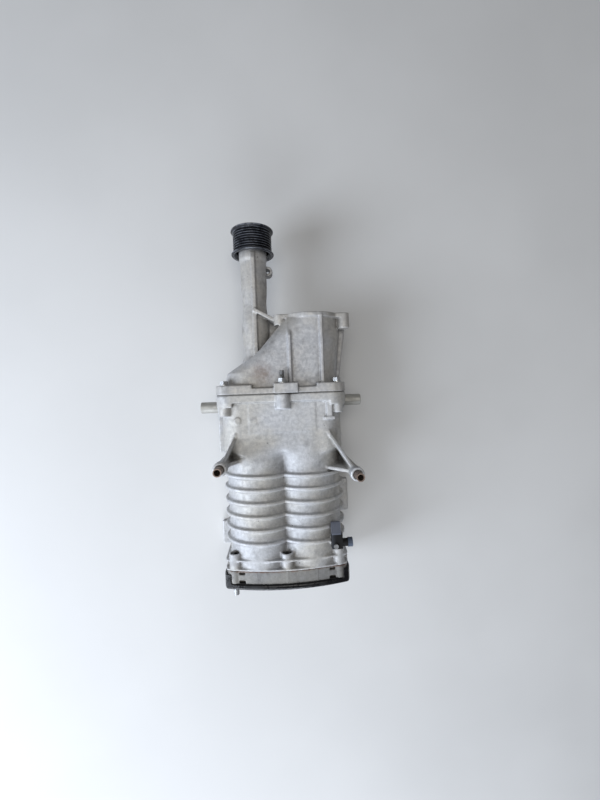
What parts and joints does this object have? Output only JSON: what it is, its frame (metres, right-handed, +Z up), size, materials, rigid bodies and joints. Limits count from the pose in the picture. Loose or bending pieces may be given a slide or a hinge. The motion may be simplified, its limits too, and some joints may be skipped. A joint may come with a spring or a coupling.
{
  "type": "supercharger",
  "caption": "Belt-driven twin-rotor supercharger with a long snout, ribbed rotor housing, side inlet duct, mounting legs and a flat outlet flange.",
  "frame": {"origin": "on the outlet flange's lower face, under the middle of the overall length and width", "axes": "+Z up, away from the outlet face; +Y along the rotor shafts towards the drive pulley; +X across the rotors towards the driven rotor"},
  "size_m": [0.238, 0.532, 0.1837],
  "materials": {
    "cast_aluminium": "rough cast",
    "stained_casting": "rough cast, stained",
    "black_cover": "gloss moulded",
    "black_metal": "satin coated",
    "seal_rubber": "matte",
    "gasket": "matte coated",
    "zinc_steel": "plated",
    "dark_steel": "oiled",
    "ground_steel": "ground",
    "bearing_steel": "polished",
    "cage_brass": "satin",
    "rotor_aluminium": "machined, coated",
    "isolator_polymer": "matte",
    "sensor_plastic": "satin moulded",
    "cap_plastic": "satin moulded",
    "sleeve_steel": "worn, lightly rusted"
  },
  "bodies": {
    "housing": {"rotor_housing": "cast_aluminium", "inlet_housing": "cast_aluminium", "joint_gasket": "gasket", "bearing_plate": "stained_casting", "gear_cover": "black_cover", "gear_cover_seal": "seal_rubber", "cover_plug": "zinc_steel", "side_spigots": "cast_aluminium", "foot_sleeves": "sleeve_steel", "joint_bolts": "zinc_steel", "joint_stud": "zinc_steel", "stud_nut": "zinc_steel", "joint_dowels": "ground_steel", "rear_bolts": "dark_steel", "rear_dowels": "ground_steel", "snout_seal": "seal_rubber", "snout_bearing_outers": "bearing_steel", "snout_bearing_balls": "bearing_steel", "snout_bearing_cages": "cage_brass", "needle_cups": "bearing_steel", "needle_rollers": "bearing_steel", "rotor_seals": "seal_rubber", "rotor_bearing_outers": "bearing_steel", "rotor_bearing_balls": "bearing_steel", "rotor_bearing_cages": "cage_brass", "sensor_bracket": "zinc_steel", "sensor_body": "sensor_plastic", "sensor_cap": "cap_plastic", "sensor_screw": "zinc_steel"},
    "drive_line": {"pulley": "black_metal", "input_shaft": "ground_steel", "snout_bearing_inners": "bearing_steel", "coupling_front_hub": "dark_steel", "coupling_isolator": "isolator_polymer", "coupling_rear_hub": "dark_steel", "drive_rotor": "rotor_aluminium", "drive_rotor_shaft": "ground_steel", "drive_bearing_inner": "bearing_steel", "drive_gear": "dark_steel"},
    "driven_line": {"driven_rotor": "rotor_aluminium", "driven_rotor_shaft": "ground_steel", "driven_bearing_inner": "bearing_steel", "driven_gear": "dark_steel"}
  },
  "joints": [
    {"name": "pulley_spin", "type": "hinge", "parent": "housing", "child": "drive_line", "pos_m": [-0.03475, 0.02256, 0.07174], "axis": [0, 1, 0], "continuous": true},
    {"name": "driven_rotor_spin", "type": "hinge", "parent": "housing", "child": "driven_line", "pos_m": [0.03475, 0.02256, 0.07174], "axis": [0, 1, 0], "continuous": true}
  ],
  "couplings": [
    {"joint": "driven_rotor_spin", "follows": "pulley_spin", "ratio": -1}
  ]
}
